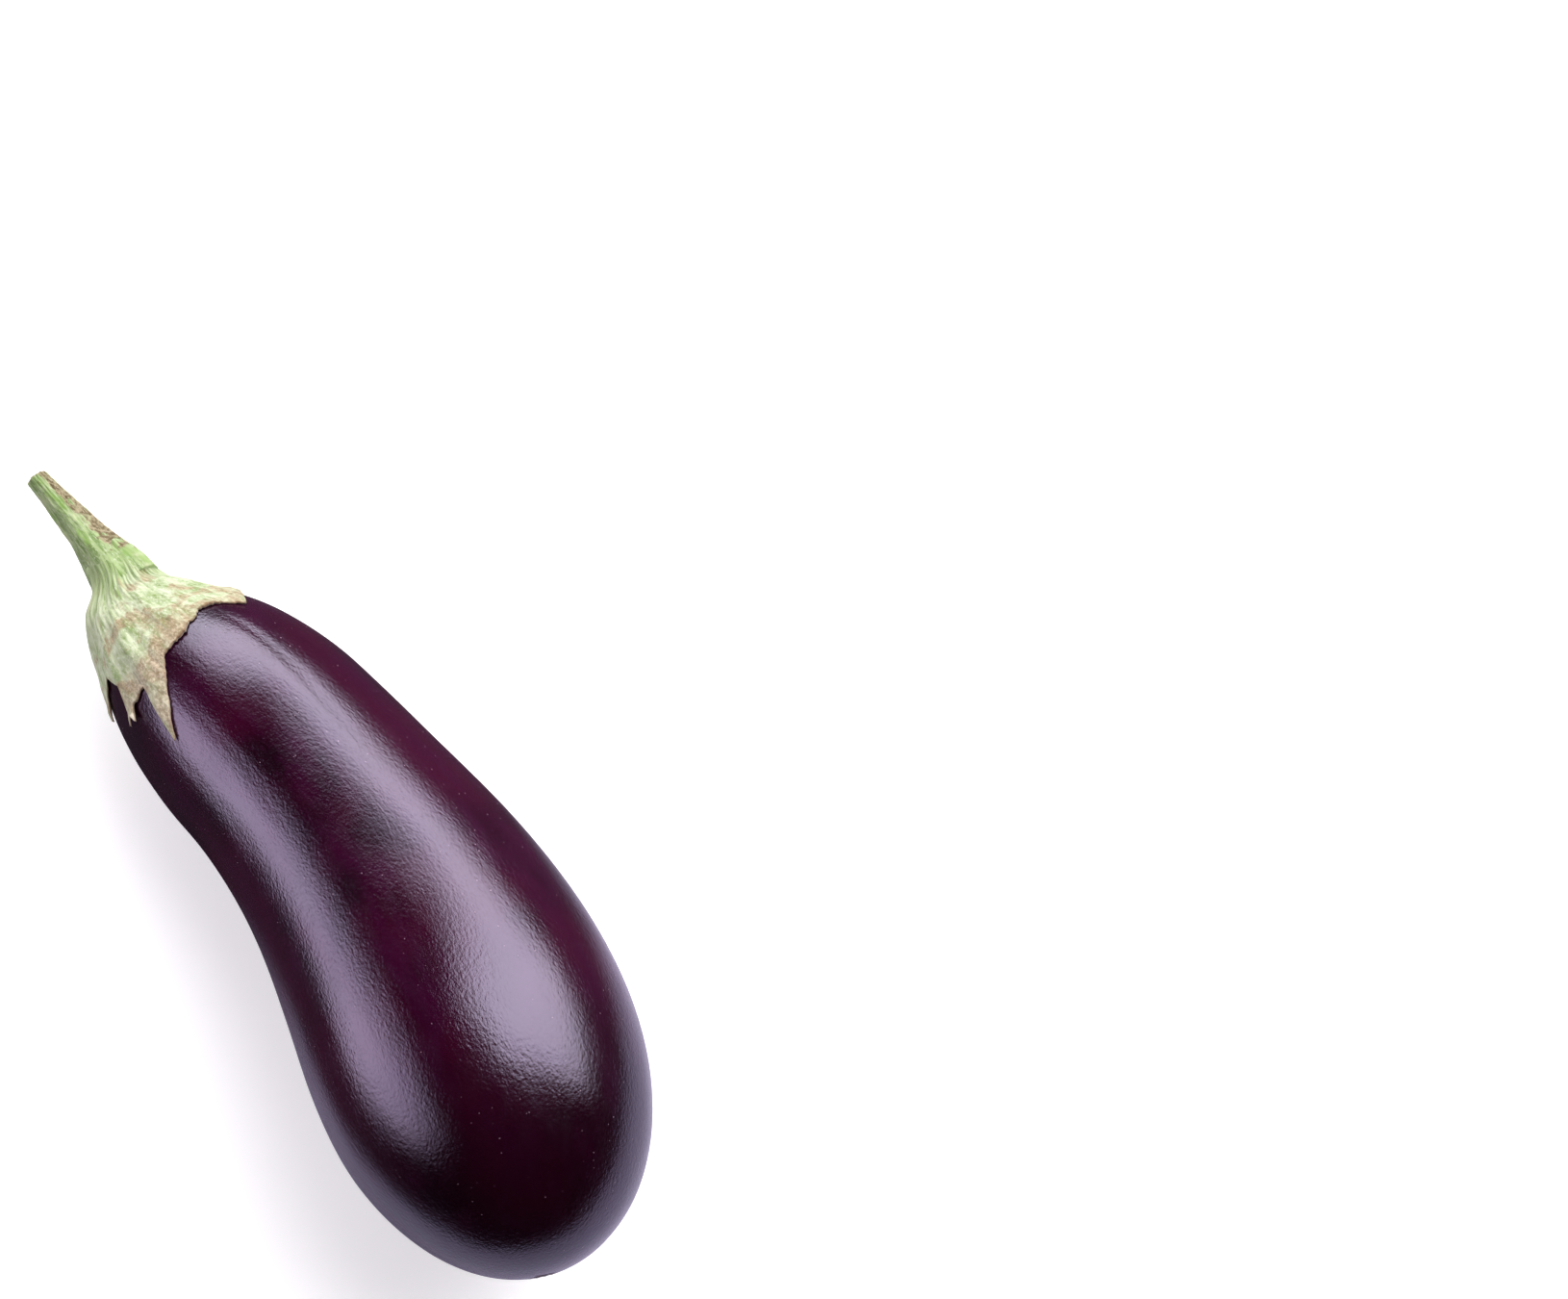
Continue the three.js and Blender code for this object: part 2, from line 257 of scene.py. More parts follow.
def make_piece(name, rings, poles, values):
    """A closed mesh through rings with a pole at each end. values holds point attributes."""
    rows, columns = rings.shape[:2]
    points = np.concatenate([rings.reshape(-1, 3), poles])
    index = np.arange(rows * columns).reshape(rows, columns)
    beside = np.roll(index, -1, 1)
    quads = np.stack([index[:-1], beside[:-1], beside[1:], index[1:]], -1).reshape(-1, 4)
    start, end = rows * columns, rows * columns + 1
    faces = quads.tolist()
    faces += [(start, b, a) for a, b in zip(index[0].tolist(), beside[0].tolist())]
    faces += [(end, a, b) for a, b in zip(index[-1].tolist(), beside[-1].tolist())]
    mesh = bpy.data.meshes.new(name)
    mesh.from_pydata(points.tolist(), [], faces)
    for key, value in values.items():
        flat = np.ascontiguousarray(value, dtype=np.float32)
        kind = "FLOAT_VECTOR" if flat.ndim == 2 else "FLOAT"
        field = "vector" if flat.ndim == 2 else "value"
        mesh.attributes.new(key, kind, "POINT").data.foreach_set(field, flat.ravel())
    made = bmesh.new()
    made.from_mesh(mesh)
    bmesh.ops.recalc_face_normals(made, faces=made.faces)
    made.to_mesh(mesh)
    made.free()
    mesh.shade_smooth()
    piece = bpy.data.objects.new(name, mesh)
    bpy.context.scene.collection.objects.link(piece)
    return piece


def point_values(ring_values, pole_values):
    """Ring values and pole values as one list, in the order of the mesh's points."""
    tail = ring_values.shape[2:]
    return np.concatenate([ring_values.reshape((-1,) + tail), np.asarray(pole_values, float)])


LYING = np.array(Matrix.Rotation(math.radians(LIE_ROLL), 3, "X")
                 @ Matrix.Rotation(-math.radians(LIE_TILT), 3, "Y"))


def laid(points):
    return points @ LYING.T


# ---- fruit

FRUIT_SIDES, FRUIT_ROWS, SCAR_ROWS = 288, 270, 26
RELIEF_INSET = 0.2  # keeps the lumps inside the CAD's box
TOP_INSET = 0.05    # keeps the top just under the CAD's
# height, stretch, then count, shortest, longest and seed of the waves
SKIN_LUMPS = (0.13, 1, 16, 30, 62, 11)
SKIN_DIMPLES = (0.030, 0.5, 26, 9, 17, 12)
SKIN_PEEL = (0.0045, 0.45, 34, 3.2, 6, 13)
NECK_RIDGES = (0.020, 0.14, 30, 2.6, 5, 14)
NECK_RIDGES_FADE = (35, 105)            # stations
CREASE_DEPTH, CREASE_WIDTH = 0.11, 3.0  # millimetres, degrees
CREASE_TURN, CREASE_DRIFT, CREASE_DRIFT_SPAN = -47, 4, (40, 80)
CREASE_FROM, CREASE_TO = (22, 34), (62, 86)
SCAR_OUTER, SCAR_INNER = SCAR_RADIUS * 1.25, 0.12
SCAR_NUB_TOP = SCAR_NUB_HEIGHT + 0.5    # the withered nub stands taller than in the CAD
PUCKERS, PUCKER_HEIGHT, PUCKER_RADIUS, PUCKER_WIDTH, PUCKER_DRIFT = 9, 0.09, 2.4, 1.1, 1.3
SMOOTH_STEM_END, SMOOTH_BLOSSOM_END = (0, 12), (0.5, 9)  # distances where the relief sets in

fruit_turns = np.arange(FRUIT_SIDES) * 360 / FRUIT_SIDES
stations = CENTRE_LENGTH * (1 - np.cos(np.pi * np.arange(1, FRUIT_ROWS) / FRUIT_ROWS)) / 2
before_scar = skin_radius(stations, 0) > SCAR_RADIUS * 1.3
stations = stations[(stations < CENTRE_LENGTH / 2) | before_scar]
side_station, side_turn = np.meshgrid(stations, fruit_turns, indexing="ij")

scar_radii = np.linspace(SCAR_OUTER, SCAR_INNER, SCAR_ROWS)
scar_radius, scar_turn = np.meshgrid(scar_radii, fruit_turns, indexing="ij")
bluntness = BLOSSOM_END_ROUNDING / (BLOSSOM_END_POWER * BELLY_RADIUS ** 2)
sunk = SCAR_DEPTH * np.maximum(1 - (scar_radius / SCAR_RADIUS) ** 2, 0) ** 2
nub = SCAR_NUB_TOP * bump_at(scar_radius, 0, SCAR_NUB_RADIUS)
unevenly = np.radians(PUCKERS * scar_turn) + PUCKER_DRIFT * np.sin(np.radians(2 * scar_turn))
puckers = PUCKER_HEIGHT * np.sin(unevenly) * bump_at(scar_radius, PUCKER_RADIUS, PUCKER_WIDTH)
scar_station = CENTRE_LENGTH - bluntness * scar_radius ** 2 - sunk + nub + puckers

fruit_station = np.concatenate([side_station, scar_station])
fruit_turn = np.concatenate([side_turn, scar_turn])
fruit_radius = np.concatenate([skin_radius(side_station, side_turn), scar_radius])
fruit_rings = point_around(fruit_station, fruit_radius, fruit_turn)
skin_place = straightened(fruit_station, fruit_radius, fruit_turn)

skin_relief = relief(skin_place, *SKIN_LUMPS)
skin_relief += relief(skin_place, *SKIN_DIMPLES)
skin_relief += relief(skin_place, *SKIN_PEEL)
skin_relief += relief(skin_place, *NECK_RIDGES) * (1 - smooth(fruit_station, *NECK_RIDGES_FADE))
signed_turn = (fruit_turn + 180) % 360 - 180
crease_turn = CREASE_TURN + CREASE_DRIFT * smooth(fruit_station, *CREASE_DRIFT_SPAN)
skin_relief -= (CREASE_DEPTH * bump_at(signed_turn, crease_turn, CREASE_WIDTH)
                * smooth(fruit_station, *CREASE_FROM) * (1 - smooth(fruit_station, *CREASE_TO)))
skin_relief *= smooth(fruit_station, *SMOOTH_STEM_END)
skin_relief *= smooth(CENTRE_LENGTH - fruit_station, *SMOOTH_BLOSSOM_END)
fruit_rings = fruit_rings + grid_normals(fruit_rings) * (skin_relief - RELIEF_INSET)[..., None]
fruit_poles = np.stack([
    point_around(RELIEF_INSET, 0, 0),
    point_around(CENTRE_LENGTH - SCAR_DEPTH + SCAR_NUB_TOP - RELIEF_INSET, 0, 0)])

low, high = (np.array(corner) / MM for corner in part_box("fruit"))
fruit_laid = laid(fruit_rings)
made_low, made_high = fruit_laid.min((0, 1)), fruit_laid.max((0, 1))
SHIFT = (low + high - made_low - made_high) / 2
SHIFT[2] = high[2] - TOP_INSET - made_high[2]


def placed(points):
    """Points laid down where the CAD is, in metres, and pressed flat where they rest."""
    moved = laid(points) + SHIFT
    moved[..., 2] = np.maximum(moved[..., 2], 0)
    return moved * MM


fruit = make_piece("fruit_skin", placed(fruit_rings), placed(fruit_poles), {
    "skin_place": point_values(skin_place, [[0, 0, 0], [CENTRE_LENGTH, 0, 0]])})

# ---- calyx

# the edge as (root, turn, reach): a column of the cap starts at the root turn by the stem, and
# leans to the other turn at the edge
CALYX_EDGE = np.array([
    (-90, -90, 31), (-68, -64, 41), (-51, -51, 36.5), (-40, -40, 35.4), (-21, -21, 38.5),
    (-4, -4, 39.2), (6, 22.5, 57.8), (15, 15.5, 40.2), (21, 29.5, 40.6), (23, 32.5, 44.2),
    (24.4, 34.6, 41.6), (26.6, 38.5, 43.2), (31, 30, 33.5), (40, 41, 26),
    (64, 66, 33), (82, 82, 26), (112, 114, 36), (134, 134, 27), (160, 157, 35),
    (184, 184, 28), (214, 217, 38), (242, 242, 29), (270, 270, 31),
])
LOBE_ROOTS = (-68, -21, 6, 25, 64, 112, 160, 214)
LOBE_RIB_WIDTH = 7                       # degrees
COLUMN_REACH, COLUMN_TURN = 0.45, 0.65   # widest step between columns, millimetres and degrees
OUTER_ROWS, INNER_ROWS, FILLET_ROWS = 74, 16, 20
VISUAL_GAP, EDGE_THICKNESS, THINNEST = 0.08, 0.42, 0.3
CROWN_INSET = 0.3                        # the crown is this much thinner than the CAD's
EDGE_ROUNDING = 0.3
VISUAL_LIFT = 0.35                       # share of the CAD's lobe lift
TORN_ROOT, TORN_WIDTH, TORN_LIFT, TORN_FROM = 24.5, 3.2, 1.0, (38, 44.5)
TORN_TIP_WIDTH, TORN_TIP_FROM = 3.4, (40.5, 42.5)
CURL, CURL_DOWN, CURL_FROM = (0.18, 0.5, 10, 9, 20, 23), -0.05, (24, 36)
EDGE_NICKS, EDGE_FRAYS = (0.32, 1, 20, 2.2, 6, 21), (0.16, 1, 16, 0.9, 1.6, 22)
FIBRES, CROSS_FIBRES = (0.085, 1, 40, 0.55, 1.5, 24), (0.06, 4, 30, 0.6, 1.4, 25)
FIBRE_STRETCH = 0.09
WRINKLES = (0.28, 0.7, 20, 4, 10, 26)
FOLD_HEIGHT, FOLD_LEVEL = 0.34, 0.45     # ribs stand above that level, the rest sinks below it
EDGE_RADIUS, WRINKLE_RADIUS, COLLAR_RADIUS = 26, 20, 9  # of the straightened cap, for its waves
FIBRE_RADIUS = 11                        # one for the whole cap, so the fibres fan out evenly
OUTER_START = STEM_BASE_DIAMETER / 2 + 4.0
COLLAR, COLLAR_EDGE = 8.5, (0.8, 1, 12, 3, 9, 27)
FILLET_REACH = 9                         # what the fillet adds to the fibres' length
STEM_HANDLE, CROWN_HANDLE = 0.55, 0.42   # shares of the fillet's span
HANDLE_LIFT, TUCK_DEPTH = 0.25, 1.2
STRIAE, STRIAE_STRETCH = (0.07, 1, 40, 0.55, 1.5, 24), 0.8
FAR_FROM_RIM = 60.0


def calyx_columns():
    """Closely spaced (root, turn, reach) round the calyx's edge."""
    rows = []
    for a, b in zip(CALYX_EDGE[:-1], CALYX_EDGE[1:]):
        steps = math.ceil(max(abs(b[2] - a[2]) / COLUMN_REACH, (b[0] - a[0]) / COLUMN_TURN))
        rows.append(a + (b - a) * (np.arange(steps) / steps)[:, None])
    return np.concatenate(rows)


root, edge_turn, edge_reach = calyx_columns().T
rim_place = straightened(edge_reach * 0.4, EDGE_RADIUS, edge_turn)
raggedness = np.interp(edge_reach, [26, 40], [0.6, 1])
edge_reach = edge_reach + raggedness * (relief(rim_place, *EDGE_NICKS)
                                        + relief(rim_place, *EDGE_FRAYS))
ribs = sum(bump_at(root, lobe, LOBE_RIB_WIDTH) for lobe in LOBE_ROOTS)


def calyx_turn(share):
    return lerp(root, edge_turn, share ** 2)


def calyx_surface(reach, share, thickness):
    """Points over the skin, a share of the way from the stem to the edge."""
    turn = calyx_turn(share)
    stand = LOBE_LIFT * smooth(reach, LIFT_START, LIFT_START + LIFT_LENGTH)
    torn = bump_at(root, TORN_ROOT, TORN_WIDTH) * smooth(reach, *TORN_FROM)
    curl = relief(straightened(reach, EDGE_RADIUS, turn), *CURL) * smooth(reach, *CURL_FROM)
    lift = VISUAL_GAP + VISUAL_LIFT * stand + TORN_LIFT * torn + np.maximum(curl, CURL_DOWN)
    return point_on_skin(reach, turn, lift + thickness)


outer_shares = np.linspace(0, 1, OUTER_ROWS)[:, None]
outer_reach = lerp(OUTER_START, edge_reach[None, :], outer_shares)
outer_turn = calyx_turn(outer_shares)
to_rim = edge_reach[None, :] - outer_reach
fold = FOLD_HEIGHT * (ribs - FOLD_LEVEL) * np.sin(np.pi * outer_shares ** 0.7) ** 1.2
wool_place = straightened(outer_reach * FIBRE_STRETCH, FIBRE_RADIUS, outer_turn)
wool = (relief(wool_place, *FIBRES) + relief(wool_place, *CROSS_FIBRES)
        + relief(straightened(outer_reach, WRINKLE_RADIUS, outer_turn), *WRINKLES))
thickness = lerp(EDGE_THICKNESS, CROWN_THICKNESS - CROWN_INSET, (1 - outer_shares) ** 3)
thickness = np.maximum(thickness + fold + wool, THINNEST) * rounded_off(to_rim, EDGE_ROUNDING)
outer = calyx_surface(outer_reach, outer_shares, thickness)

# a fillet from the stem's side down to the crown
collar_along = COLLAR + relief(straightened(0 * root, COLLAR_RADIUS, root), *COLLAR_EDGE)
collar_edge = point_on_stem(collar_along, root, -0.02)
onwards = outer[1] - outer[0]
onwards /= np.linalg.norm(onwards, axis=-1, keepdims=True)
span = np.linalg.norm(outer[0] - collar_edge, axis=-1, keepdims=True)
down_the_stem = point_on_stem(collar_along - STEM_HANDLE * span[..., 0], root, HANDLE_LIFT)
up_the_crown = outer[0] - onwards * span * CROWN_HANDLE
fillet_shares = np.linspace(0, 1, FILLET_ROWS, endpoint=False)[:, None, None]
fillet = cubic((collar_edge, down_the_stem, up_the_crown, outer[0]), fillet_shares)
stria_place = straightened(0 * root, FIBRE_RADIUS, root) + fillet_shares * [STRIAE_STRETCH, 0, 0]
striae = relief(stria_place, *STRIAE)
fillet_out = grid_normals(np.concatenate([fillet, outer[:2]]))[:FILLET_ROWS]
if np.sum(fillet_out * (fillet - fillet.mean((0, 1)))) < 0:
    fillet_out = -fillet_out
fillet = fillet + fillet_out * (striae * np.sin(np.pi * fillet_shares[..., 0] / 2))[..., None]
tuck = point_on_stem(collar_along + 0.1, root, -TUCK_DEPTH)

inner_shares = np.linspace(1, 0, INNER_ROWS)[1:-1, None]
inner_reach = lerp(0.5, edge_reach[None, :], inner_shares)
inner = calyx_surface(inner_reach, inner_shares, 0)
calyx_rings = np.concatenate([tuck[None], fillet, outer, inner])
calyx_poles = np.stack([stem_axis(COLLAR - 1.5), point_around(-0.1, 0, 0)])


def row_values(tuck_value, fillet_value, outer_value, inner_value):
    """Values of the calyx's rings, from those of its four bands."""
    return np.concatenate([np.broadcast_to(value, (rows, len(root))) for value, rows in (
        (tuck_value, 1), (fillet_value, FILLET_ROWS), (outer_value, OUTER_ROWS),
        (inner_value, len(inner_shares)))])


collar_reach = OUTER_START - FILLET_REACH
reach_rows = row_values(collar_reach, lerp(collar_reach, OUTER_START, fillet_shares[..., 0]),
                        outer_reach, inner_reach)
turn_rows = row_values(root[None], root[None], outer_turn, calyx_turn(inner_shares))
rim_rows = row_values(FAR_FROM_RIM, FAR_FROM_RIM, to_rim, edge_reach[None] - inner_reach)
torn_rows = bump_at(root[None], TORN_ROOT, TORN_TIP_WIDTH) * smooth(reach_rows, *TORN_TIP_FROM)
calyx = make_piece("calyx_cap", placed(calyx_rings), placed(calyx_poles), {
    "fibre_place": point_values(straightened(reach_rows, FIBRE_RADIUS, turn_rows),
                                [[0, 0, 0], [0, 0, 0]]),
    "skin_reach": point_values(reach_rows, [0, 0]),
    "from_rim": point_values(rim_rows, [FAR_FROM_RIM, FAR_FROM_RIM]),
    "torn_tip": point_values(torn_rows, [0, 0]),
})

# ---- stem

STEM_ROWS, STEM_SIDES, CUT_ROWS = 150, 168, 18
STEM_FOOT, CUT_AT = -2.0, STEM_LENGTH + 0.15
STEM_FIBRES = (0.11, 0.10, 40, 0.9, 2.2, 31)
STEM_LUMPS = (0.12, 0.4, 16, 4, 8, 32)
STEM_GRAIN = (0.05, 0.5, 30, 0.9, 1.6, 33)
STRIP_TURN, STRIP_WIDTH, STRIP_FROM = -58, 30, (2, 12)  # a rubbed strip down one side
STRIP_GRAIN, STRIP_SUNK = (0.10, 0.8, 30, 0.9, 2.0, 34), 0.18
STEM_WAVE_RADIUS, CUT_WAVE_RADIUS = 5, 3  # of the straightened stem and its end, for the waves
END_ROUNDING, END_SHARE = 0.35, 0.93
CUT_OUTER, CUT_INNER = 0.97, 0.04         # shares of the end's radius
CUT_RIM_HEIGHT, CUT_PITH_DEPTH = 0.12, 0.28
CUT_GRAIN, CUT_SWELLS = (0.09, 1, 40, 0.5, 1.4, 35), (0.10, 1, 8, 3, 6, 36)

stem_turns = np.arange(STEM_SIDES) * 360 / STEM_SIDES
along, around = np.meshgrid(np.linspace(STEM_FOOT, CUT_AT, STEM_ROWS), stem_turns, indexing="ij")
stem_place = straightened(along, STEM_WAVE_RADIUS, around)
strip = bump_at((around + 180) % 360 - 180, STRIP_TURN, STRIP_WIDTH) * smooth(along, *STRIP_FROM)
stem_relief = relief(stem_place, *STEM_FIBRES)
stem_relief += relief(stem_place, *STEM_LUMPS)
stem_relief += relief(stem_place, *STEM_GRAIN)
stem_relief += strip * (relief(stem_place, *STRIP_GRAIN) - STRIP_SUNK)
stem_side = point_on_stem(along, around, stem_relief,
                          lerp(END_SHARE, 1, rounded_off(CUT_AT - along, END_ROUNDING)))

cut_share = np.linspace(CUT_OUTER, CUT_INNER, CUT_ROWS)[:, None]
cut_around = np.broadcast_to(stem_turns, (CUT_ROWS, STEM_SIDES))
cut_place = straightened(0, CUT_WAVE_RADIUS * cut_share, cut_around)
cut_out = (CUT_RIM_HEIGHT * bump_at(cut_share, 0.85, 0.1)
           - CUT_PITH_DEPTH * bump_at(cut_share, 0, 0.45)
           + relief(cut_place, *CUT_GRAIN) + relief(cut_place, *CUT_SWELLS))
cut = point_on_stem(np.full(cut_around.shape, CUT_AT), cut_around,
                    np.broadcast_to(stem_relief[-1], cut_around.shape), END_SHARE * cut_share)
cut = cut + STEM_WAY * cut_out[..., None]
stem_rings = np.concatenate([stem_side, cut])
stem_poles = np.stack([stem_axis(STEM_FOOT), stem_axis(CUT_AT) - STEM_WAY * CUT_PITH_DEPTH])
on_cut = np.concatenate([smooth(along, CUT_AT - 0.5, CUT_AT), np.ones(cut_around.shape)])
cut_skin_place = straightened(CUT_AT, STEM_WAVE_RADIUS * cut_share, cut_around)
stem = make_piece("stem_stalk", placed(stem_rings), placed(stem_poles), {
    "stem_place": point_values(np.concatenate([stem_place, cut_skin_place]),
                               [[STEM_FOOT, 0, 0], [CUT_AT, 0, 0]]),
    "cut_end": point_values(on_cut, [0, 1]),
    "scar_strip": point_values(np.concatenate([strip, np.zeros(cut_around.shape)]), [0, 0]),
})

# ---------------------------------------------------------------- materials


class Shader:
    """A material with one principled shader and short ways to build its nodes."""

    def __init__(self, name, **sockets):
        self.material = bpy.data.materials.new(name)
        self.material.use_nodes = True
        self.tree = self.material.node_tree
        self.principled = self.tree.nodes["Principled BSDF"]
        for key, value in sockets.items():
            self.principled.inputs[key.replace("_", " ")].default_value = value

    def node(self, kind, inputs=(), **settings):
        made = self.tree.nodes.new(kind)
        for key, value in settings.items():
            setattr(made, key, value)
        for key, value in dict(inputs).items():
            if isinstance(value, bpy.types.NodeSocket):
                self.tree.links.new(value, made.inputs[key])
            else:
                made.inputs[key].default_value = value
        return made

    def attribute(self, name, output="Vector"):
        return self.node("ShaderNodeAttribute", attribute_name=name).outputs[output]

    def scaled(self, vector, scale):
        return self.node("ShaderNodeVectorMath", {0: vector, 1: scale},
                         operation="MULTIPLY").outputs[0]

    def drawn_out(self, place, stretch):
        """A place whose patterns are drawn out along the piece where the stretch is below 1."""
        return self.scaled(place, (stretch, 1.0, 1.0))

    def part(self, vector, axis):
        return self.node("ShaderNodeSeparateXYZ", {"Vector": vector}).outputs[axis]

    def noise(self, vector, scale, detail=4.0, roughness=0.55, distortion=0.0):
        return self.node("ShaderNodeTexNoise", {
            "Vector": vector, "Scale": scale, "Detail": detail, "Roughness": roughness,
            "Distortion": distortion}).outputs["Fac"]

    def spots(self, vector, scale):
        """The distance from the nearest random spot, and a random value for that spot."""
        cells = self.node("ShaderNodeTexVoronoi", {"Vector": vector, "Scale": scale})
        colour = self.node("ShaderNodeSeparateColor", {"Color": cells.outputs["Color"]})
        return cells.outputs["Distance"], colour.outputs["Red"]

    def steps(self, value, low, high, to_low=0.0, to_high=1.0):
        return self.node("ShaderNodeMapRange", {
            "Value": value, "From Min": low, "From Max": high, "To Min": to_low,
            "To Max": to_high}, interpolation_type="SMOOTHSTEP").outputs["Result"]

    def math(self, operation, a, b=0.0, clamp=False):
        return self.node("ShaderNodeMath", {0: a, 1: b}, operation=operation,
                         use_clamp=clamp).outputs[0]

    def times(self, a, b):
        return self.math("MULTIPLY", a, b)

    def blend(self, share, a, b):
        made = self.node("ShaderNodeMix", {0: share, 6: self.rgb(a), 7: self.rgb(b)},
                         data_type="RGBA")
        return made.outputs[2]

    @staticmethod
    def rgb(colour):
        return (*colour, 1.0) if isinstance(colour, tuple) else colour

    def bump(self, height, strength, distance, normal=None):
        inputs = {"Height": height, "Strength": strength, "Distance": distance}
        if normal is not None:
            inputs["Normal"] = normal
        return self.node("ShaderNodeBump", inputs).outputs["Normal"]

    def finish(self, colour, roughness, normal):
        for key, value in (("Base Color", colour), ("Roughness", roughness), ("Normal", normal)):
            self.tree.links.new(value, self.principled.inputs[key])
        return self.material


# base colours are linear, patterns are per millimetre, and bump distances are metres
SKIN_TINT = (0.82, 0.74, 1.0, 1.0)
SKIN_BLACK = (0.0038, 0.0001, 0.0016)
SKIN_WINE = (0.0200, 0.0004, 0.0070)
SKIN_PURPLE = (0.0185, 0.0006, 0.0100)
SKIN_GRAIN = (0.026, 0.002, 0.016)
SKIN_BLOSSOM_END = (0.0036, 0.0001, 0.0010)
SKIN_SPECK = (0.26, 0.18, 0.22)
SCAR_BROWN = (0.060, 0.018, 0.013)


def skin_material():
    s = Shader("eggplant_skin", IOR=1.5, Specular_IOR_Level=0.68, Specular_Tint=SKIN_TINT)
    place = s.attribute("skin_place")
    long = s.drawn_out(place, 0.35)
    along = s.part(place, "X")
    colour = s.blend(s.steps(s.noise(place, 0.022, 3.0), 0.35, 0.65), SKIN_BLACK, SKIN_WINE)
    colour = s.blend(s.steps(s.noise(long, 0.11), 0.4, 0.75), colour, SKIN_PURPLE)
    grain = s.noise(long, 1.6, 5.0, 0.6)
    colour = s.blend(s.steps(grain, 0.45, 0.8, 0.0, 0.35), colour, SKIN_GRAIN)
    colour = s.blend(s.steps(along, 125.0, 195.0, 0.0, 0.70), colour, SKIN_BLOSSOM_END)

    from_speck, speck_size = s.spots(place, 0.62)
    speck = s.math("LESS_THAN", from_speck, s.math("SUBTRACT", s.times(speck_size, 0.17), 0.078))
    colour = s.blend(s.times(speck, 0.45), colour, SKIN_SPECK)

    from_axis = s.node("ShaderNodeVectorMath", {0: s.scaled(place, (0.0, 1.0, 1.0))},
                       operation="LENGTH").outputs["Value"]
    ragged = s.math("ADD", from_axis, s.steps(s.noise(place, 0.9), 0.3, 0.7, -1.0, 1.0))
    scar = s.times(s.steps(ragged, 2.2, 3.9, 1.0, 0.0),
                   s.steps(along, CENTRE_LENGTH - 6.0, CENTRE_LENGTH - 4.0))
    mottled = s.steps(s.noise(place, 1.2), 0.3, 0.7, 0.5, 1.0)
    colour = s.blend(s.times(scar, mottled), colour, SCAR_BROWN)

    rough = s.steps(s.noise(long, 0.35, 5.0, 0.6), 0.3, 0.7, 0.15, 0.21)
    rough = s.math("ADD", rough, s.times(speck, 0.3))
    rough = s.math("ADD", rough, s.times(scar, 0.35), clamp=True)
    normal = s.bump(s.noise(s.drawn_out(place, 0.72), 1.15, 3.0), 0.85, 0.000100)
    normal = s.bump(s.noise(s.drawn_out(place, 0.6), 2.1, 2.0, 0.5), 0.9, 0.000066, normal)
    return s.finish(colour, rough, normal)


WOOL_SHEEN = (0.85, 0.9, 0.75, 1.0)
CALYX_GREEN = (0.108, 0.162, 0.036)
CALYX_PALE = (0.312, 0.350, 0.230)
CALYX_WOOL = (0.415, 0.450, 0.345)
WORN_BROWN, WORN_TAN = (0.120, 0.076, 0.030), (0.262, 0.192, 0.108)
DRY_BROWN, DRY_CREAM = (0.165, 0.112, 0.070), (0.385, 0.328, 0.240)
FLECK_BROWN = (0.130, 0.082, 0.030)
TORN_CREAM = (0.520, 0.470, 0.360)
EDGE_BROWN = (0.150, 0.068, 0.040)
COLLAR_GREEN, COLLAR_PALE = (0.074, 0.126, 0.021), (0.208, 0.270, 0.118)


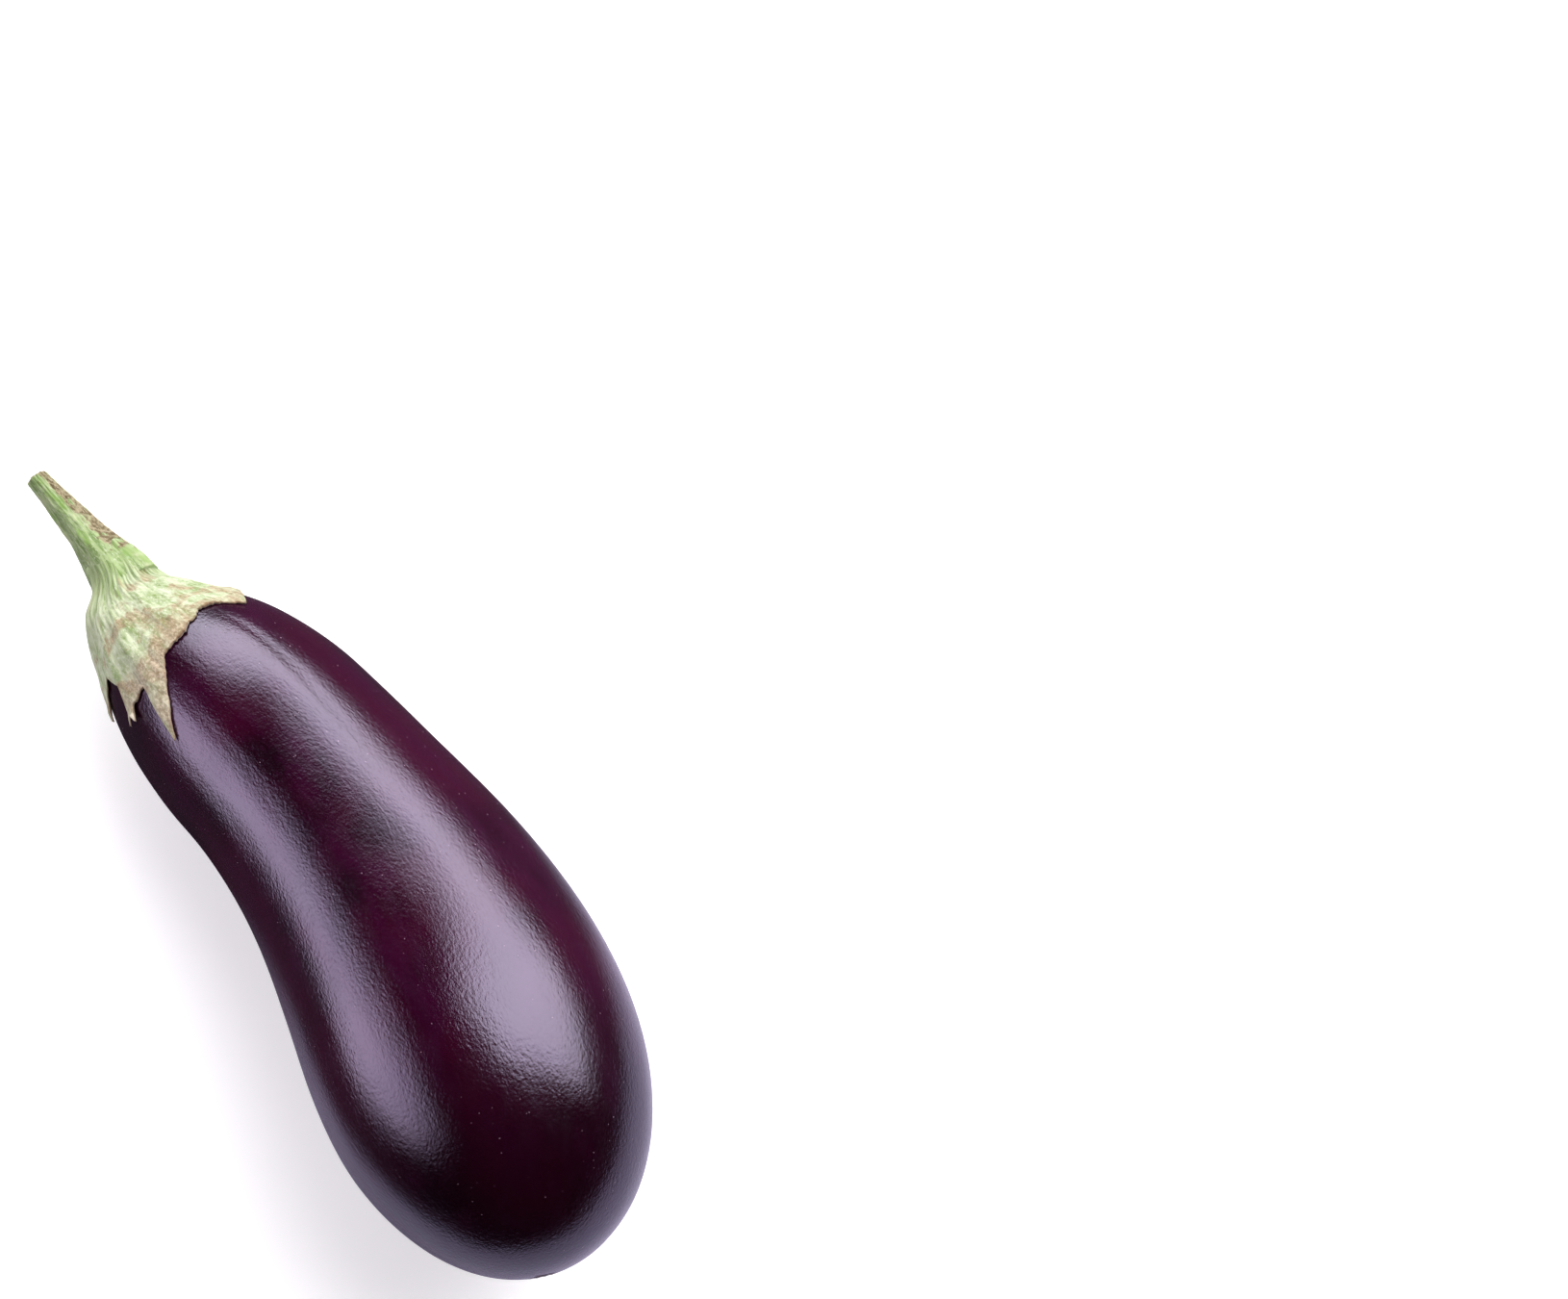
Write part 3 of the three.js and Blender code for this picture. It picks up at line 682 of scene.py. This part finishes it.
def woolly_material():
    s = Shader("calyx_wool", IOR=1.4, Specular_IOR_Level=0.3, Sheen_Weight=0.35,
               Sheen_Roughness=0.5, Sheen_Tint=WOOL_SHEEN)
    place = s.attribute("fibre_place")
    reach = s.attribute("skin_reach", "Fac")
    rim = s.attribute("from_rim", "Fac")
    fibre_space = s.drawn_out(place, 0.16)
    fibres = s.noise(fibre_space, 0.9, 6.0, 0.68, 0.35)
    fine = s.noise(s.drawn_out(place, 0.28), 3.2, 4.0, 0.65, 0.3)
    patches = s.noise(s.drawn_out(place, 0.6), 0.16, 5.0, 0.6, 0.8)
    colour = s.blend(s.steps(fibres, 0.34, 0.62), CALYX_GREEN, CALYX_PALE)
    colour = s.blend(s.steps(fine, 0.48, 0.74, 0.0, 0.8), colour, CALYX_WOOL)

    worn = s.steps(s.math("ADD", patches, s.steps(reach, 14.0, 30.0, 0.0, 0.090)), 0.505, 0.575)
    worn = s.times(worn, s.steps(s.noise(fibre_space, 1.2, 5.0, 0.65), 0.32, 0.60, 0.2, 0.9))
    colour = s.blend(worn, colour, s.blend(s.steps(fine, 0.35, 0.68), WORN_BROWN, WORN_TAN))

    # the lobes dry out, and more so on the side that the photo shows
    dry = s.times(s.steps(reach, 29.0, 41.0, 0.0, 0.85),
                  s.steps(s.part(place, "Z"), -7.0, -0.5, 0.35, 1.0))
    dry = s.times(dry, s.steps(s.noise(fibre_space, 1.1, 5.0), 0.30, 0.62, 0.5, 1.0))
    colour = s.blend(dry, colour, s.blend(s.steps(fine, 0.35, 0.7), DRY_BROWN, DRY_CREAM))

    from_fleck, fleck_size = s.spots(s.drawn_out(place, 0.5), 0.95)
    inside = s.math("SUBTRACT", s.math("SUBTRACT", s.times(fleck_size, 0.62), 0.24), from_fleck)
    fleck = s.times(s.steps(inside, -0.05, 0.12), s.steps(patches, 0.42, 0.56, 0.10, 0.80))
    colour = s.blend(fleck, colour, FLECK_BROWN)
    torn_tip = s.attribute("torn_tip", "Fac")
    colour = s.blend(s.steps(torn_tip, 0.35, 0.75, 0.0, 0.85), colour, TORN_CREAM)
    colour = s.blend(s.steps(rim, 0.10, 0.60, 0.65, 0.0), colour, EDGE_BROWN)
    collar = s.blend(s.steps(fibres, 0.36, 0.60), COLLAR_GREEN, COLLAR_PALE)
    colour = s.blend(s.steps(reach, 4.0, 14.0, 1.0, 0.0), colour, collar)

    rough = s.steps(fine, 0.3, 0.7, 0.72, 0.92)
    normal = s.bump(fibres, 0.9, 0.00030)
    normal = s.bump(fine, 0.8, 0.00013, normal)
    return s.finish(colour, rough, normal)


STEM_SHEEN = (0.85, 0.92, 0.7, 1.0)
STEM_GREEN = (0.062, 0.110, 0.017)
STEM_PALE = (0.195, 0.260, 0.110)
STEM_WOOL = (0.330, 0.370, 0.260)
STEM_FADED, STEM_FRESH = (0.270, 0.300, 0.170), (0.105, 0.190, 0.030)
STRIP_BROWN, STRIP_TAN = (0.070, 0.048, 0.017), (0.205, 0.172, 0.102)
STEM_FLECK = (0.085, 0.053, 0.017)
CUT_BROWN, CUT_CREAM = (0.095, 0.060, 0.028), (0.265, 0.215, 0.125)


def stem_material():
    s = Shader("stem_green", IOR=1.4, Specular_IOR_Level=0.35, Sheen_Weight=0.25,
               Sheen_Roughness=0.5, Sheen_Tint=STEM_SHEEN)
    place = s.attribute("stem_place")
    cut = s.attribute("cut_end", "Fac")
    strip = s.attribute("scar_strip", "Fac")
    fibres = s.noise(s.drawn_out(place, 0.09), 1.3, 6.0, 0.62)
    fine = s.noise(s.drawn_out(place, 0.2), 4.0, 4.0, 0.6)
    broad = s.noise(s.drawn_out(place, 0.5), 0.22, 3.0)
    fresh = s.noise(s.drawn_out(place, 0.4), 0.34, 3.0)
    colour = s.blend(s.steps(fibres, 0.36, 0.64), STEM_GREEN, STEM_PALE)
    colour = s.blend(s.steps(fine, 0.48, 0.72, 0.0, 0.8), colour, STEM_WOOL)
    colour = s.blend(s.steps(broad, 0.50, 0.66, 0.0, 0.7), colour, STEM_FADED)
    colour = s.blend(s.steps(fresh, 0.50, 0.64, 0.0, 0.65), colour, STEM_FRESH)

    rubbed = s.drawn_out(place, 0.6)
    worn = s.times(strip, s.steps(s.noise(rubbed, 0.5, 5.0, 0.6), 0.3, 0.6, 0.35, 1.3))
    worn_colour = s.blend(s.steps(s.noise(rubbed, 1.5), 0.4, 0.62), STRIP_BROWN, STRIP_TAN)
    colour = s.blend(s.steps(worn, 0.40, 0.60), colour, worn_colour)

    from_fleck, fleck_size = s.spots(s.drawn_out(place, 0.5), 0.8)
    fleck = s.math("LESS_THAN", from_fleck, s.math("SUBTRACT", s.times(fleck_size, 0.5), 0.27))
    colour = s.blend(s.times(fleck, 0.7), colour, STEM_FLECK)
    cut_grain = s.noise(place, 1.1, 5.0, 0.65)
    colour = s.blend(cut, colour, s.blend(s.steps(cut_grain, 0.35, 0.65), CUT_BROWN, CUT_CREAM))

    rough = s.steps(fine, 0.3, 0.7, 0.6, 0.85)
    normal = s.bump(fibres, 0.6, 0.00022)
    normal = s.bump(fine, 0.6, 0.00010, normal)
    return s.finish(colour, rough, normal)


for piece, node, material, slot in (
        (fruit, "fruit", skin_material(), "fruit_skin"),
        (calyx, "calyx", woolly_material(), "calyx_green"),
        (stem, "stem", stem_material(), "stem_green")):
    piece.data.materials.append(material)
    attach(piece, "root")
    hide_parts(node)

# ---------------------------------------------------------------- floor and studio light

FLOOR_SIZE = 24.0
FLOOR_GLOW = 0.45  # keeps the shadow nearly as light as the photo's cut-out white
FLOOR_WHITE = (0.72, 0.72, 0.72)
# painted reflection: glossy rays see the floor as a small lit sheet and then painted dark, as they
# do among the photo's other vegetables
SHEET_PAINTED_IN_GLOSS, FLOOR_PAINTED_DARK_IN_GLOSS = (0.50, 0.47, 0.62), (0.05, 0.035, 0.05)
SHEET_MIDDLE, SHEET_EDGE = (0.125, -0.03, 0), (0.14, 0.20)
WORLD_DARK = (0.012, 0.011, 0.014, 1.0)

half = FLOOR_SIZE / 2
floor_mesh = bpy.data.meshes.new("floor")
floor_mesh.from_pydata([(-half, -half, 0), (half, -half, 0), (half, half, 0), (-half, half, 0)],
                       [], [(0, 1, 2, 3)])
floor = bpy.data.objects.new("floor", floor_mesh)
bpy.context.scene.collection.objects.link(floor)
paper = Shader("floor_paper", Roughness=0.9, Specular_IOR_Level=0.0,
               Emission_Color=(1.0, 1.0, 1.0, 1.0))
rays = paper.node("ShaderNodeLightPath")
floor_place = paper.node("ShaderNodeTexCoord").outputs["Object"]
from_middle = paper.node("ShaderNodeVectorMath", {0: floor_place, 1: SHEET_MIDDLE},
                         operation="DISTANCE").outputs["Value"]
# painted reflection: the floor's colour for glossy rays only, lilac near the fruit and painted dark
# further out
painted_in_gloss = paper.blend(paper.steps(from_middle, *SHEET_EDGE), SHEET_PAINTED_IN_GLOSS, FLOOR_PAINTED_DARK_IN_GLOSS)
for socket, value in (
        ("Base Color", paper.blend(rays.outputs["Is Glossy Ray"], FLOOR_WHITE, painted_in_gloss)),
        ("Emission Strength", paper.times(rays.outputs["Is Camera Ray"], FLOOR_GLOW))):
    paper.tree.links.new(value, paper.principled.inputs[socket])
floor_mesh.materials.append(paper.material)

world = bpy.data.worlds.new("studio")
bpy.context.scene.world = world
world.use_nodes = True
world.node_tree.nodes["Background"].inputs["Color"].default_value = WORLD_DARK

LAMP_AIM, LAMP_DISTANCE = (-0.02, 0, 0.05), 1.6


def curved_lamp(name, azimuths, elevations, radiances, tint):
    """A lamp on a sphere round the object, in degrees from +X towards +Y. radiances has a row per
    elevation and a column per azimuth."""
    a, e = np.meshgrid(np.radians(azimuths), np.radians(elevations))
    points = LAMP_DISTANCE * np.stack([np.cos(a) * np.cos(e), np.sin(a) * np.cos(e), np.sin(e)], -1)
    points += LAMP_AIM
    rows, columns = a.shape
    index = np.arange(rows * columns).reshape(rows, columns)
    quads = np.stack([index[:-1, :-1], index[:-1, 1:], index[1:, 1:], index[1:, :-1]], -1)
    mesh = bpy.data.meshes.new(name)
    mesh.from_pydata(points.reshape(-1, 3).tolist(), [], quads.reshape(-1, 4).tolist())
    mesh.attributes.new("radiance", "FLOAT", "POINT").data.foreach_set(
        "value", np.array(radiances, np.float32).ravel())
    lamp = bpy.data.objects.new(name, mesh)
    bpy.context.scene.collection.objects.link(lamp)
    lamp.visible_camera = False
    glow = Shader(name)
    emission = glow.node("ShaderNodeEmission", {"Color": (*tint, 1.0),
                                               "Strength": glow.attribute("radiance", "Fac")})
    glow.tree.links.new(emission.outputs[0], glow.tree.nodes["Material Output"].inputs["Surface"])
    mesh.materials.append(glow.material)


curved_lamp("lamp_right", (56, 62, 75, 97, 112, 127, 138, 146, 156, 168, 180, 190),
            (0.5, 4, 10, 16, 26, 36, 46, 56, 66, 72, 78), [
                (0, 0, 0, 0, 0, 0.5, 2.5, 3.5, 4, 4, 3, 0),
                (0, 0, 0, 0, 0.3, 2, 4, 6, 6.5, 7, 4, 0),
                (0, 0, 0.5, 2.5, 2.5, 4, 6.5, 7.5, 7.5, 7, 4, 0),
                (0, 1.5, 5.5, 7.5, 6.5, 7.5, 8, 7.5, 8, 7, 4, 0),
                (0, 6, 7.5, 8.5, 8, 8.5, 8.5, 7.5, 8, 7.5, 4, 0),
                (0, 7, 7.5, 8.5, 8.5, 7.5, 5, 4, 4, 4, 2, 0),
                (0, 6.5, 8, 8.5, 8.5, 6.5, 1.5, 0.3, 0, 0, 0, 0),
                (0, 5.5, 8, 8.5, 8.5, 7, 3.5, 1, 0, 0, 0, 0),
                (0, 3, 8, 8, 7.5, 7, 4.5, 1.5, 0, 0, 0, 0),
                (0, 0, 3, 5, 6.5, 6, 4, 1, 0, 0, 0, 0),
                (0, 0, 0, 0, 1, 1, 0.5, 0, 0, 0, 0, 0)], (1.0, 0.98, 1.0))
curved_lamp("lamp_left", (-146, -138, -126, -112, -98, -84, -74), (0.5, 5, 13, 26, 37, 46, 54), [
    (0, 0, 0, 0, 0, 0, 0),
    (0, 2, 3, 3, 0, 0, 0),
    (0, 4, 5.5, 5.5, 1.5, 0, 0),
    (0, 3, 5.5, 5.5, 4.5, 1, 0),
    (0, 1.5, 4, 4.5, 4, 2.5, 1),
    (0, 0, 1.2, 2, 2, 1, 0),
    (0, 0, 0, 0, 0, 0, 0)], (0.96, 0.86, 1.0))

bpy.context.scene.view_settings.view_transform = "Standard"
